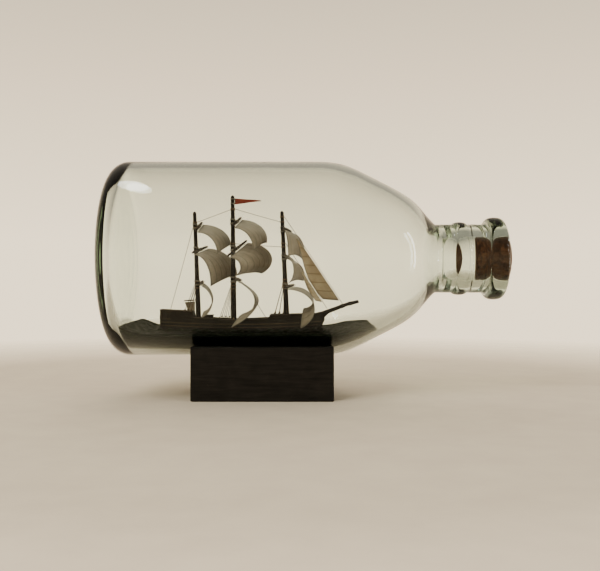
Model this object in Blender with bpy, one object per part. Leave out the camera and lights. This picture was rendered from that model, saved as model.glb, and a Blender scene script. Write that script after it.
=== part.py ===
"""Ship in a bottle: a three-masted square rigger on a putty sea, inside a
corked glass bottle that lies in a cradle block.

Metres, +Z up, +X from the bottle's base to its mouth.  The origin is the centre
of the block's underside.  Port is +Y and starboard is -Y.
"""
import math

import bmesh
import bpy
from mathutils import Matrix, Vector

MM = 0.001
GAP = 0.3 * MM              # clearance between neighbouring solids

# ---- driving dimensions -------------------------------------------------
BLOCK_LENGTH = 66.8 * MM
BLOCK_DEPTH = 60.0 * MM
BLOCK_HEIGHT = 25.5 * MM
BLOCK_CHAMFER = 0.8 * MM

BODY_RADIUS = 48.0 * MM     # bottle body, outside
CRADLE_SINK = 6.0 * MM      # how deep the bottle sits below the block's top
AXIS_Z = BLOCK_HEIGHT - CRADLE_SINK + BODY_RADIUS
BASE_X = -75.4 * MM
BASE_CORNER = 9.5 * MM
BASE_THICKNESS = 4.9 * MM
PUSH_UP = 1.5 * MM          # the base is hollowed by this much
WALL = 2.8 * MM
SHOULDER_X = 30.6 * MM      # where the body starts to close
NECK_X = 84.6 * MM          # where the neck starts
NECK_RADIUS = 17.0 * MM
BEAD = (93.4 * MM, 100.2 * MM, 1.2 * MM)      # from, to, height
LIP = (109.4 * MM, 118.6 * MM, 3.5 * MM)      # from, to, height
BORE_RADIUS = 11.0 * MM
BORE_END_X = 88.0 * MM
MOUTH_X = LIP[1]

CORK_INNER_X = 103.0 * MM
CORK_PROUD = 2.6 * MM

SEA_Z = 31.6 * MM           # level under the ship
SEA_GAP = 0.5 * MM          # between the putty and the glass
SEA_FROM_X = -69.6 * MM
SEA_TO_X = 55.0 * MM

STERN_X = -51.6 * MM
STEM_X = 30.2 * MM
HALF_BEAM = 6.2 * MM
DECK_Z = 35.6 * MM          # lowest point of the main deck
PLANK = 0.6 * MM            # thickness of the bulwark strips
BULWARK_END_X = 25.6 * MM   # clear of the bowsprit

# name: foot (x, z), top (x, z), radius at the foot and at the truck
MASTS = {
    "mizzen": ((-32.9 * MM, 36.4 * MM), (-35.0 * MM, 91.2 * MM), 1.2 * MM, 0.8 * MM),
    "main": ((-15.4 * MM, 36.2 * MM), (-16.0 * MM, 99.4 * MM), 1.35 * MM, 0.8 * MM),
    "fore": ((10.9 * MM, 39.7 * MM), (8.6 * MM, 91.5 * MM), 1.25 * MM, 0.8 * MM),
}
PIN_HEIGHT = 1.5 * MM       # hinge pin above the mast's foot
PIN_RADIUS = 0.25 * MM
PIN_LENGTH = 4.2 * MM

YARD_RADIUS = 0.65 * MM
# mast, tier: height, length to starboard, length to port, brace and cant in degrees
YARDS = {
    ("mizzen", "upper"): (83.6, 10.0, 10.0, 2.0, 16.0),
    ("mizzen", "middle"): (72.0, 12.0, 12.0, 12.0, 10.0),
    ("mizzen", "lower"): (55.4, 12.5, 12.5, -4.0, 3.0),
    ("main", "upper"): (86.0, 10.5, 9.6, 9.0, 17.0),
    ("main", "middle"): (72.8, 13.0, 13.0, 19.0, 20.0),
    ("main", "lower"): (57.1, 13.5, 13.0, 3.0, -2.5),
    ("fore", "upper"): (82.0, 11.5, 10.5, 12.0, -2.0),
    ("fore", "middle"): (68.1, 13.0, 12.5, 12.0, -6.5),
    ("fore", "lower"): (53.8, 13.5, 13.5, 9.0, 2.0),
}

SAIL_THICKNESS = 0.35 * MM
# Each leech leaves the yard level and rolls forward and down, through `turn`
# degrees.  Per sail: starboard (reach, drop, turn), port (reach, drop, turn),
# belly (further forward at mid-width), roach (foot lifted at mid-width), and
# how evenly it drops along its length (0 as on an arc, 1 evenly).
SAILS = {
    ("mizzen", "upper"): ((9.6, 10.2, 88), (14.0, 10.1, 90), 1.2, 0.8, 0.0),
    ("mizzen", "middle"): ((8.0, 15.2, 95), (14.6, 13.6, 90), 1.2, 1.2, 0.0),
    ("mizzen", "lower"): ((4.9, 15.3, 182), (4.4, 14.8, 175), 0.3, 1.4, 0.5),
    ("main", "upper"): ((9.4, 10.7, 90), (12.6, 11.6, 100), 1.2, 1.2, 0.0),
    ("main", "middle"): ((5.2, 8.9, 150), (12.4, 15.6, 145), 1.5, 1.0, 0.0),
    ("main", "lower"): ((9.6, 22.6, 194), (6.4, 17.8, 165), 1.8, 3.6, 0.8),
    ("fore", "upper"): ((2.4, 13.0, 95), (6.3, 14.0, 108), 0.0, 1.8, 0.0),
    ("fore", "middle"): ((4.6, 13.0, 150), (4.9, 9.4, 116), 0.0, 1.0, 0.0),
    ("fore", "lower"): ((13.4, 18.6, 150), (9.0, 13.4, 143), 0.0, 5.3, 0.0),
}

BOWSPRIT = ((26.6 * MM, 38.6 * MM), (46.3 * MM, 46.3 * MM), 1.0 * MM, 0.65 * MM)

THREAD_RADIUS = 0.15 * MM
# name: from (x, y, z) to (x, y, z), in millimetres
STAYS = {
    "backstay": ((-46.8, 0.0, 42.6), (-36.0, 0.0, 82.4)),
    "mizzen_stay": ((-33.5, 0.0, 85.8), (-17.6, 0.0, 91.8)),
    "main_top_stay": ((-14.7, 0.0, 92.3), (7.4, 0.0, 86.0)),
    "main_middle_stay": ((-14.2, 0.0, 74.9), (7.6, 0.0, 73.4)),
    "outer_jib_stay": ((10.2, 0.0, 87.9), (39.4, 0.0, 45.1)),
    "inner_jib_stay": ((10.8, 0.0, 74.6), (31.2, 0.0, 42.9)),
    "main_sheet": ((-3.1, -12.6, 45.4), (0.6, -5.8, 38.6)),
}
# corners (x, y, z) in millimetres: head, tack, clew; then the leech's round
JIBS = {
    "outer_jib": ((16.8, 0.0, 77.6), (38.0, 0.0, 46.9), (29.2, 2.4, 47.3), 2.6),
    "inner_jib": ((19.2, 0.0, 61.2), (29.0, 0.0, 46.2), (25.4, -2.2, 46.6), 0.9),
}
# corners (x, y, z) in millimetres: throat, peak, clew, tack
SPANKER = ((-35.0, 0.0, 45.9), (-39.7, 0.0, 45.6), (-38.2, 0.8, 41.6), (-34.9, 0.0, 41.5))
GAFF_RADIUS = 0.35 * MM
SHROUD_STEP = 1.6           # millimetres between the tops of a mast's shrouds
SHROUD_TOPS = {"mizzen": 56.0, "main": 55.6, "fore": 57.0}      # millimetres
SHROUD_FEET = {                                                  # x, millimetres
    "mizzen": (-39.2, -37.6, -36.0),
    "main": (-22.0, -20.0, -18.0),
    "fore": (5.0, 7.2, 9.4),
}

PENNANT = (13.0 * MM, 3.0 * MM, 97.7 * MM)     # length, hoist, top of the hoist

MATERIALS = {
    "glass": ((0.80, 0.86, 0.80), 0.05, 0.0),
    "black_wood": ((0.012, 0.011, 0.010), 0.45, 0.0),
    "cork": ((0.24, 0.10, 0.05), 0.85, 0.0),
    "putty": ((0.020, 0.030, 0.022), 0.5, 0.0),
    "hull_wood": ((0.030, 0.018, 0.012), 0.55, 0.0),
    "deck_wood": ((0.075, 0.045, 0.025), 0.6, 0.0),
    "spar_wood": ((0.022, 0.013, 0.009), 0.5, 0.0),
    "sailcloth": ((0.44, 0.36, 0.28), 0.85, 0.0),
    "jib_cloth": ((0.55, 0.42, 0.28), 0.85, 0.0),
    "thread": ((0.16, 0.09, 0.05), 0.8, 0.0),
    "red_cloth": ((0.35, 0.05, 0.03), 0.8, 0.0),
    "brass": ((0.55, 0.38, 0.14), 0.35, 1.0),
}


# ---- small tools ----------------------------------------------------------
def clear_scene():
    for obj in list(bpy.data.objects):
        bpy.data.objects.remove(obj, do_unlink=True)


def material(name):
    found = bpy.data.materials.get(name)
    if found:
        return found
    colour, roughness, metallic = MATERIALS[name]
    made = bpy.data.materials.new(name)
    made.use_nodes = True
    shader = made.node_tree.nodes["Principled BSDF"]
    shader.inputs["Base Color"].default_value = (*colour, 1.0)
    shader.inputs["Roughness"].default_value = roughness
    shader.inputs["Metallic"].default_value = metallic
    return made


def add_object(name, bm, material_name, location=(0, 0, 0), matrix=None, smooth=40):
    """Turn a bmesh into a named object with its faces pointing out."""
    bmesh.ops.recalc_face_normals(bm, faces=bm.faces)
    mesh = bpy.data.meshes.new(name)
    bm.to_mesh(mesh)
    bm.free()
    mesh.materials.append(material(material_name))
    mesh.shade_smooth()
    mesh.set_sharp_from_angle(angle=math.radians(smooth))
    obj = bpy.data.objects.new(name, mesh)
    bpy.context.scene.collection.objects.link(obj)
    if matrix is None:
        obj.location = location
    else:
        obj.matrix_world = matrix
    return obj


def smooth_line(points, steps):
    """Catmull-Rom curve through the points, `steps` pieces to each span."""
    ends = [points[0], *points, points[-1]]
    line = []
    for a, b, c, d in zip(ends, ends[1:], ends[2:], ends[3:]):
        for k in range(steps):
            t = k / steps
            line.append(tuple(
                0.5 * (2 * q + (r - p) * t + (2 * p - 5 * q + 4 * r - s) * t * t
                       + (3 * q - p - 3 * r + s) * t ** 3)
                for p, q, r, s in zip(a, b, c, d)))
    return [*line, points[-1]]


def arc(centre, radius, start, end, steps):
    """Points on an arc in the (x, r) plane; angles in degrees."""
    angles = [math.radians(start + (end - start) * k / steps) for k in range(steps + 1)]
    return [(centre[0] + radius * math.cos(a), centre[1] + radius * math.sin(a))
            for a in angles]


def hump(start, end, base, height, power, steps):
    """A rounded ring on a neck: a superellipse from x = start to x = end."""
    middle = (start + end) / 2
    half = (end - start) / 2
    points = []
    for k in range(steps + 1):
        s = -math.cos(math.pi * k / steps)
        rise = (1 - abs(s) ** power) ** (1 / power)
        points.append((middle + half * s, base + height * rise))
    return points


def loft(sections, close_rings=True):
    """A closed skin over rings of equally many points, with a face on each end."""
    bm = bmesh.new()
    rings = [[bm.verts.new(p) for p in section] for section in sections]
    count = len(rings[0])
    for a, b in zip(rings, rings[1:]):
        for k in range(count if close_rings else count - 1):
            n = (k + 1) % count
            bm.faces.new((a[k], a[n], b[n], b[k]))
    bm.faces.new(rings[0])
    bm.faces.new(list(reversed(rings[-1])))
    return bm


def revolve(profile, segments):
    """Turn an (x, r) profile about the X axis; a point with r = 0 is a pole."""
    bm = bmesh.new()
    rings = []
    for x, r in profile:
        if r < 1e-7:
            rings.append([bm.verts.new((x, 0, 0))])
        else:
            rings.append([
                bm.verts.new((x, r * math.sin(a), r * math.cos(a)))
                for a in (2 * math.pi * k / segments for k in range(segments))])
    for a, b in zip(rings, rings[1:]):
        for k in range(segments):
            n = (k + 1) % segments
            face = [a[k % len(a)], a[n % len(a)], b[n % len(b)], b[k % len(b)]]
            bm.faces.new(list(dict.fromkeys(face)))
    return bm


def along(start, end):
    """A frame at `start` whose local X axis points at `end`."""
    start = Vector(start)
    direction = Vector(end) - start
    turn = direction.to_track_quat("X", "Z").to_matrix().to_4x4()
    return Matrix.Translation(start) @ turn, direction.length


def rod(name, start, end, radius_start, radius_end, material_name, sides=10, waist=None):
    """A round stick between two points, with small chamfers at both ends."""
    matrix, length = along(start, end)
    cut = 0.25 * min(radius_start, radius_end)
    profile = [(0, 0), (0, radius_start - cut), (cut, radius_start)]
    if waist:
        profile.append((length / 2, waist))
    profile += [(length - cut, radius_end), (length, radius_end - cut), (length, 0)]
    return add_object(name, revolve(profile, sides), material_name, matrix=matrix)


def block(name, low, high, material_name, chamfer=0.0):
    """A box between two corners, with its edges chamfered."""
    low = Vector(low)
    high = Vector(high)
    bm = bmesh.new()
    bmesh.ops.create_cube(bm, size=1.0)
    bmesh.ops.scale(bm, vec=high - low, verts=bm.verts)
    if chamfer:
        bmesh.ops.bevel(bm, geom=bm.edges, offset=chamfer, segments=1, affect="EDGES")
    return add_object(name, bm, material_name, location=(low + high) / 2, smooth=20)


def thread(name, points, sides=6):
    """A thread through two or more points."""
    curve = bpy.data.curves.new(name, "CURVE")
    curve.dimensions = "3D"
    curve.bevel_depth = THREAD_RADIUS
    curve.bevel_resolution = sides // 2 - 2
    curve.resolution_u = 1
    curve.render_resolution_u = 0
    curve.use_fill_caps = True
    spline = curve.splines.new("POLY")
    spline.points.add(len(points) - 1)
    for point, place in zip(spline.points, points):
        point.co = (*place, 1.0)
    curve.materials.append(material("thread"))
    obj = bpy.data.objects.new(name, curve)
    bpy.context.scene.collection.objects.link(obj)
    return obj


def millimetres(point):
    return tuple(value * MM for value in point)


def ease(t):
    """0 below 0, 1 above 1, smooth between."""
    t = min(max(t, 0.0), 1.0)
    return t * t * (3 - 2 * t)


def between(table, x):
    """Straight-line reading of a short list of (x, value) pairs."""
    for (x0, v0), (x1, v1) in zip(table, table[1:]):
        if x <= x1:
            return v0 + (v1 - v0) * max(x - x0, 0.0) / (x1 - x0)
    return table[-1][1]


# ---- bottle, cork, block ----------------------------------------------------
def outer_profile():
    corner = (BASE_X + BASE_CORNER, BODY_RADIUS - BASE_CORNER)
    shoulder = [(SHOULDER_X, BODY_RADIUS), (40 * MM, 46.4 * MM), (48 * MM, 42.9 * MM),
                (57 * MM, 38.4 * MM), (66 * MM, 33.8 * MM), (73.6 * MM, 28.9 * MM),
                (78.6 * MM, 23.6 * MM), (81.6 * MM, 19.4 * MM), (NECK_X, NECK_RADIUS)]
    points = [(BASE_X + PUSH_UP, 0), (BASE_X + 0.8 * PUSH_UP, 18 * MM)]
    points += arc(corner, BASE_CORNER, 180, 90, 7)
    points += smooth_line(shoulder, 2)
    points += hump(BEAD[0], BEAD[1], NECK_RADIUS, BEAD[2], 2.0, 6)
    points += hump(LIP[0], LIP[1], NECK_RADIUS, LIP[2], 2.6, 9)
    return points


def inner_profile():
    """From the mouth back to the middle of the base."""
    radius = BODY_RADIUS - WALL
    corner_radius = BASE_CORNER - WALL
    corner = (BASE_X + BASE_THICKNESS + corner_radius, radius - corner_radius)
    shoulder = [(BORE_END_X, BORE_RADIUS), (83 * MM, 13.0 * MM), (79 * MM, 17.8 * MM),
                (75.5 * MM, 22.8 * MM), (71 * MM, 27.2 * MM), (63 * MM, 32.2 * MM),
                (54 * MM, 36.6 * MM), (45.5 * MM, 40.8 * MM), (37.5 * MM, 43.9 * MM),
                (SHOULDER_X - 1 * MM, radius)]
    points = [(MOUTH_X, BORE_RADIUS + 1.2 * MM), (MOUTH_X - 0.4 * MM, BORE_RADIUS + 0.35 * MM),
              (MOUTH_X - 1.2 * MM, BORE_RADIUS)]
    points += smooth_line(shoulder, 1)
    points += arc(corner, corner_radius, 90, 180, 6)
    points += [(BASE_X + BASE_THICKNESS + 0.8 * PUSH_UP, 18 * MM),
               (BASE_X + BASE_THICKNESS + PUSH_UP, 0)]
    return points


def glass_inside_radius(x):
    """Inner radius of the glass at x, between the base and the neck."""
    table = sorted((px, pr) for px, pr in inner_profile() if pr > 20 * MM)
    return between(table, x)


def make_bottle():
    profile = outer_profile() + inner_profile()
    add_object("bottle", revolve(profile, 48), "glass", location=(0, 0, AXIS_Z), smooth=50)


def make_cork():
    radius = BORE_RADIUS - GAP
    end = MOUTH_X + CORK_PROUD
    edge = 0.8 * MM
    profile = [(CORK_INNER_X, 0), (CORK_INNER_X, radius - edge), (CORK_INNER_X + edge, radius),
               (end - edge, radius), (end, radius - edge), (end, 0)]
    add_object("cork", revolve(profile, 32), "cork", location=(0, 0, AXIS_Z))


def make_block():
    """Block with a cylindrical cradle cut along its top."""
    half = BLOCK_DEPTH / 2
    cradle = BODY_RADIUS + GAP
    swing = math.degrees(math.acos((AXIS_Z - BLOCK_HEIGHT) / cradle))
    groove = arc((0, AXIS_Z), cradle, -90 + swing, -90 - swing, 20)
    c = BLOCK_CHAMFER
    outline = [(-half + c, 0), (half - c, 0), (half, c), (half, BLOCK_HEIGHT - c),
               (half - c, BLOCK_HEIGHT), *groove, (-half + c, BLOCK_HEIGHT),
               (-half, BLOCK_HEIGHT - c), (-half, c)]
    ends = (-BLOCK_LENGTH / 2, BLOCK_LENGTH / 2)
    bm = loft([[(x, y, z) for y, z in outline] for x in ends])
    add_object("stand_block", bm, "black_wood", smooth=20)


# ---- sea --------------------------------------------------------------------
def sea_level(x):
    """Flat under the ship, banked up at both ends, rounded off at the right."""
    left = 3.2 * MM * ease((-56 * MM - x) / (12 * MM))
    right = 3.0 * MM * ease((x - 30 * MM) / (22 * MM))
    lip = 1.6 * MM * ease((x - 52 * MM) / (3 * MM))
    return SEA_Z + left + right - lip


def sea_section(x, across=8, around=14):
    radius = glass_inside_radius(x) - SEA_GAP
    level = sea_level(x)
    half_angle = math.acos((AXIS_Z - level) / radius)
    half_chord = radius * math.sin(half_angle)
    top = [(x, half_chord * (1 - 2 * k / across), level) for k in range(across)]
    angles = [half_angle * (2 * k / around - 1) for k in range(around)]
    under = [(x, radius * math.sin(a), AXIS_Z - radius * math.cos(a)) for a in angles]
    return top + under


def make_sea():
    stations = 27
    xs = [SEA_FROM_X + (SEA_TO_X - SEA_FROM_X) * k / stations for k in range(stations + 1)]
    add_object("sea", loft([sea_section(x) for x in xs]), "putty", smooth=30)


# ---- hull and deck ----------------------------------------------------------
def half_breadth(x):
    t = (x - STERN_X) / (STEM_X - STERN_X)
    shape = [(0.0, 0.68), (0.12, 0.84), (0.30, 0.97), (0.5, 1.0), (0.66, 0.96),
             (0.80, 0.78), (0.90, 0.50), (0.96, 0.26), (1.0, 0.07)]
    return HALF_BEAM * between(shape, t)


def deck_height(x):
    """Main deck, with its sheer to the stern and to the bow."""
    middle = -12 * MM
    span = (middle - STERN_X) if x < middle else (STEM_X - middle)
    rise = 1.0 * MM if x < middle else 1.3 * MM
    return DECK_Z + rise * (abs(x - middle) / span) ** 2


def rail_height(x):
    """Top of the bulwarks: poop, waist, forecastle and the rising bow."""
    table = [(-51.6, 42.0), (-35.6, 41.1), (-34.8, 38.2), (-14.5, 37.1), (1.9, 37.8),
             (2.7, 39.5), (20.2, 39.9), (20.8, 39.1), (30.2, 41.2)]
    return between([(x_mm * MM, z_mm * MM) for x_mm, z_mm in table], x)


def hull_section(x):
    breadth = half_breadth(x)
    deck = deck_height(x)
    bottom = SEA_Z + GAP
    fullness = 0.86 - 0.30 * ease((x - 8 * MM) / (22 * MM))
    rake = 0.5 * ease((x - 14 * MM) / (16 * MM))
    side = [(1.0, deck), (1.0, deck - 1.4 * MM), (0.96, bottom + 1.6 * MM),
            (fullness, bottom)]
    starboard = [(x - rake * (deck - z), -breadth * f, z) for f, z in side]
    port = [(px, -py, pz) for px, py, pz in reversed(starboard)]
    return starboard + port


def make_hull():
    stations = 22
    xs = [STERN_X + (STEM_X - STERN_X) * k / stations for k in range(stations + 1)]
    add_object("hull", loft([hull_section(x) for x in xs]), "hull_wood", smooth=30)


def make_bulwarks():
    ends = (STERN_X + PLANK + GAP, BULWARK_END_X)
    marks = [-35.6, -34.8, 1.9, 2.7, 20.2, 20.8]
    xs = sorted([ends[0] + (ends[1] - ends[0]) * k / 20 for k in range(21)]
                + [mark * MM for mark in marks])
    for side, name in ((-1, "bulwark_starboard"), (1, "bulwark_port")):
        sections = []
        for x in xs:
            outer = half_breadth(x)
            low = deck_height(x) + GAP
            high = rail_height(x)
            sections.append([(x, side * outer, low), (x, side * outer, high),
                             (x, side * (outer - PLANK), high),
                             (x, side * (outer - PLANK), low)])
        add_object(name, loft(sections), "hull_wood", smooth=20)
    wide = half_breadth(STERN_X)
    low = deck_height(STERN_X) + GAP
    block("transom", (STERN_X, -wide, low), (STERN_X + PLANK, wide, rail_height(STERN_X)),
          "hull_wood", chamfer=0.1 * MM)


def make_raised_deck(name, x_from, x_to, top):
    """A raised deck that fills the hull between the bulwarks."""
    xs = [x_from + (x_to - x_from) * k / 6 for k in range(7)]
    sections = []
    for x in xs:
        half = half_breadth(x) - PLANK - GAP
        low = deck_height(x) + GAP
        sections.append([(x, -half, low), (x, -half, top), (x, half, top), (x, half, low)])
    add_object(name, loft(sections), "deck_wood", smooth=20)


def make_deck_fittings():
    make_raised_deck("poop_deck", STERN_X + PLANK + GAP, -35.6 * MM, 40.7 * MM)
    make_raised_deck("forecastle_deck", 2.9 * MM, 20.0 * MM, 39.1 * MM)
    floor = DECK_Z + 0.6 * MM
    block("deckhouse", (-30.8 * MM, -2.6 * MM, floor), (-25.4 * MM, 2.6 * MM, 39.4 * MM),
          "hull_wood", chamfer=0.2 * MM)
    block("cargo_hatch", (-9.0 * MM, -2.4 * MM, floor), (-3.6 * MM, 2.4 * MM, 37.4 * MM),
          "hull_wood", chamfer=0.2 * MM)


# ---- spars --------------------------------------------------------------------
def mast_line(mast):
    foot, top, _, _ = MASTS[mast]
    return Vector((foot[0], 0, foot[1])), Vector((top[0], 0, top[1]))


def mast_point(mast, z):
    """Point on the mast's centre line at height z."""
    foot, top = mast_line(mast)
    return foot.lerp(top, (z - foot.z) / (top.z - foot.z))


def mast_radius(mast, z):
    foot, top, lower, upper = MASTS[mast]
    return lower + (upper - lower) * (z - foot[1]) / (top[1] - foot[1])


def make_masts():
    for mast, (_, _, lower, upper) in MASTS.items():
        foot, top = mast_line(mast)
        stick = rod(f"{mast}_mast", foot, top, lower, upper, "spar_wood", sides=14)
        centre = mast_point(mast, foot.z + PIN_HEIGHT)
        half = Vector((0, PIN_LENGTH / 2, 0))
        rod(f"{mast}_hinge_pin", centre - half, centre + half, PIN_RADIUS, PIN_RADIUS,
            "brass", sides=8)
        drill = rod(f"{mast}_pin_hole", centre - half, centre + half, PIN_RADIUS + GAP,
                    PIN_RADIUS + GAP, "brass", sides=12)
        drill.hide_render = True
        drill.display_type = "WIRE"
        hole = stick.modifiers.new("pin_hole", "BOOLEAN")
        hole.object = drill
        hole.operation = "DIFFERENCE"


def yard_ends(mast, tier):
    """Starboard end, sling point and port end of a yard."""
    height, starboard, port, brace, cant = YARDS[mast, tier]
    z = height * MM
    sling = mast_point(mast, z)
    forward = (mast_radius(mast, z) + GAP) / math.cos(math.radians(abs(brace))) + YARD_RADIUS
    sling.x += forward + 0.1 * MM
    turn = math.radians(brace)
    tilt = math.radians(cant)
    line = Vector((math.sin(turn) * math.cos(tilt), math.cos(turn) * math.cos(tilt),
                   math.sin(tilt)))
    return sling - line * starboard * MM, sling, sling + line * port * MM


def make_yards():
    for mast, tier in YARDS:
        start, _, end = yard_ends(mast, tier)
        tip = 0.6 * YARD_RADIUS
        rod(f"{mast}_{tier}_yard", start, end, tip, tip, "spar_wood", waist=YARD_RADIUS)


def make_bowsprit():
    heel, tip, radius_heel, radius_tip = BOWSPRIT
    rod("bowsprit", (heel[0], 0, heel[1]), (tip[0], 0, tip[1]), radius_heel, radius_tip,
        "spar_wood", sides=12)


# ---- sails --------------------------------------------------------------------
def leech(start, edge, even, v):
    """Point at v (0 head, 1 foot) of a sail's edge that rolls forward and down."""
    reach, drop, turn = edge
    angle = math.radians(turn) * v
    fall = (1 - math.cos(angle)) / (1 - math.cos(math.radians(turn)))
    fall += even * (v - fall)
    widest = math.sin(min(angle, math.pi / 2)) if turn < 90 else math.sin(angle)
    return start + Vector((reach * widest, 0, -drop * fall)) * MM


def sheet(name, point, columns, rows, material_name):
    """A thin curved sheet from point(u, v)."""
    bm = bmesh.new()
    grid = [[bm.verts.new(point(i / columns, j / rows)) for i in range(columns + 1)]
            for j in range(rows + 1)]
    for j in range(rows):
        for i in range(columns):
            bm.faces.new((grid[j][i], grid[j][i + 1], grid[j + 1][i + 1], grid[j + 1][i]))
    obj = add_object(name, bm, material_name, smooth=60)
    skin = obj.modifiers.new("thickness", "SOLIDIFY")
    skin.thickness = SAIL_THICKNESS
    skin.offset = 0.0
    return obj


def make_square_sails():
    off_yard = YARD_RADIUS + GAP + SAIL_THICKNESS
    for (mast, tier), (starboard, port, belly, roach, even) in SAILS.items():
        near, _, far = yard_ends(mast, tier)
        span = far - near
        shift = Vector((0.6, 0, -0.8)) * off_yard
        near = near + span * 0.04 + shift
        far = far - span * 0.04 + shift

        def point(u, v, near=near, far=far, starboard=starboard, port=port,
                  belly=belly, roach=roach, even=even):
            a = leech(near, starboard, even, v)
            b = leech(far, port, even, v)
            middle = 4 * u * (1 - u)
            swell = Vector((belly * math.sin(math.pi * v * 0.7), 0, roach * v * v)) * MM
            return a.lerp(b, u) + swell * middle

        sheet(f"{mast}_{tier}_sail", point, 8, 8, "sailcloth")


def make_jibs():
    for name, (*corners, leech_round) in JIBS.items():
        head, tack, clew = (Vector(millimetres(corner)) for corner in corners)
        below = Vector((-0.45 * MM, 0, -0.3 * MM))

        def point(u, v, head=head + below, tack=tack + below, clew=clew, swell=leech_round):
            luff = head.lerp(tack, v)
            leech_side = (head + Vector((-0.5 * MM, 0, -0.2 * MM))).lerp(clew, v)
            leech_side.x -= swell * MM * math.sin(math.pi * v ** 1.5)
            bow = 0.9 * MM * math.sin(math.pi * u) * math.sin(math.pi * min(v, 0.95))
            side = 1 if clew.y > 0 else -1
            return luff.lerp(leech_side, u) + Vector((0, side * bow, 0))

        sheet(name, point, 5, 9, "jib_cloth")


def make_spanker():
    """The small fore-and-aft sail behind the mizzen mast, and its gaff."""
    throat, peak, clew, tack = (Vector(millimetres(corner)) for corner in SPANKER)
    lift = Vector((0, 0, GAFF_RADIUS + GAP + SAIL_THICKNESS / 2))
    rod("spanker_gaff", throat + lift, peak + lift + Vector((-0.5 * MM, 0, 0)), GAFF_RADIUS,
        0.7 * GAFF_RADIUS, "spar_wood", sides=8)

    def point(u, v):
        bow = 0.5 * MM * math.sin(math.pi * u) * math.sin(math.pi * v)
        return throat.lerp(peak, u).lerp(tack.lerp(clew, u), v) + Vector((0, bow, 0))

    sheet("spanker", point, 5, 4, "sailcloth")


def make_pennant():
    length, hoist, top = PENNANT
    start = mast_point("main", top).x + mast_radius("main", top) + GAP

    def point(u, v):
        half = hoist / 2 * (1 - 0.93 * u)
        middle = top - hoist / 2 + 0.3 * MM * u
        wave = 0.5 * MM * math.sin(2.2 * math.pi * u)
        return Vector((start + length * u, wave, middle + half * (1 - 2 * v)))

    sheet("pennant", point, 8, 2, "red_cloth")


# ---- threads ------------------------------------------------------------------
def make_stays():
    for name, (start, end) in STAYS.items():
        thread(name, [millimetres(start), millimetres(end)])


def make_shrouds():
    """Each thread runs from one rail, round the back of the mast, to the other."""
    for mast, feet in SHROUD_FEET.items():
        for number, foot_mm in enumerate(feet, 1):
            foot_x = foot_mm * MM
            z = (SHROUD_TOPS[mast] - SHROUD_STEP * (number - 1)) * MM
            centre = mast_point(mast, z)
            clear = mast_radius(mast, z) + GAP + THREAD_RADIUS
            rail = rail_height(foot_x) + GAP + THREAD_RADIUS
            half = half_breadth(foot_x) - 0.1 * MM
            over = 0.4 * MM
            right = [(foot_x, -half, rail), (centre.x - 0.4 * clear, -1.15 * clear, z - over),
                     (centre.x - 1.15 * clear, -0.5 * clear, z)]
            left = [(x, -y, height) for x, y, height in reversed(right)]
            thread(f"{mast}_shroud_{number}", right + left)


def main():
    clear_scene()
    make_block()
    make_bottle()
    make_cork()
    make_sea()
    make_hull()
    make_bulwarks()
    make_deck_fittings()
    make_masts()
    make_yards()
    make_bowsprit()
    make_square_sails()
    make_jibs()
    make_spanker()
    make_pennant()
    make_stays()
    make_shrouds()


main()
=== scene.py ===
"""Looks of the ship in a bottle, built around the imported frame.

+Z up, +X from the bottle's base to its mouth.  Port is +Y, starboard -Y.
Shapes are worked out in millimetres, and make_piece turns them into metres.
"""
import random
from math import acos, copysign, cos, degrees, exp, pi, radians, sin, sqrt

import bmesh
import bpy
from mathutils import Matrix, Vector, noise


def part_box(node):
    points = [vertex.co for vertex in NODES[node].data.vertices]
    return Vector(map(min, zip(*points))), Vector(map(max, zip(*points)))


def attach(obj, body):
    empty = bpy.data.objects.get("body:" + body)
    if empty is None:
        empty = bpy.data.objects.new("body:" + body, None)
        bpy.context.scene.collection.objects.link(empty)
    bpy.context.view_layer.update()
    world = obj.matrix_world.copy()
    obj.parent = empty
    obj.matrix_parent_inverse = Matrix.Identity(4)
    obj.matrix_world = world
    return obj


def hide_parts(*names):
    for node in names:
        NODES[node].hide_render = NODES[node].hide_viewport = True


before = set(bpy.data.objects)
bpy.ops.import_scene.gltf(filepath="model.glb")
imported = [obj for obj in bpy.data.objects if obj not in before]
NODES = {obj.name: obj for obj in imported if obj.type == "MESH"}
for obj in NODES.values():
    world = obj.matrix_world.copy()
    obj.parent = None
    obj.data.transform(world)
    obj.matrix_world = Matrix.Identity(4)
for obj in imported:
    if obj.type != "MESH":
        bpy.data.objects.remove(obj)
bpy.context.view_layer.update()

MM = 0.001


def cad_box(node):
    """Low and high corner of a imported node, in millimetres."""
    return [[value / MM for value in corner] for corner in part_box(node)]


# ---- driving dimensions, the same as the frame's, in millimetres ----
AXIS_Z = 67.5
BODY_RADIUS = 48.0
WALL = 2.8
BASE_X = cad_box("bottle")[0][0]
BASE_CORNER = 9.5
BASE_THICKNESS = 4.9
PUSH_UP = 1.5
NECK_RADIUS = 17.0
BORE_RADIUS = 11.0
MOUTH_X = 118.6
SEA_Z = 31.6
KEEL_Z = SEA_Z - 0.9
STERN_X = -51.6
STEM_X = 30.2
HALF_BEAM = 6.2
DECK_Z = 35.6
WINDOW_Z = 38.4
YARD_RADIUS = 0.65
PLANK = 0.6
STRAKES = 8
THREAD_RADIUS = 0.15
LASHING_RADIUS = 0.10
SEA_GAP = 0.22  # between the putty and the glass
# where the rail steps down from the poop, and up to the forecastle and down again
RAIL_STEPS = (-35.6, -34.8, 1.9, 2.7, 20.2, 20.8)

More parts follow.
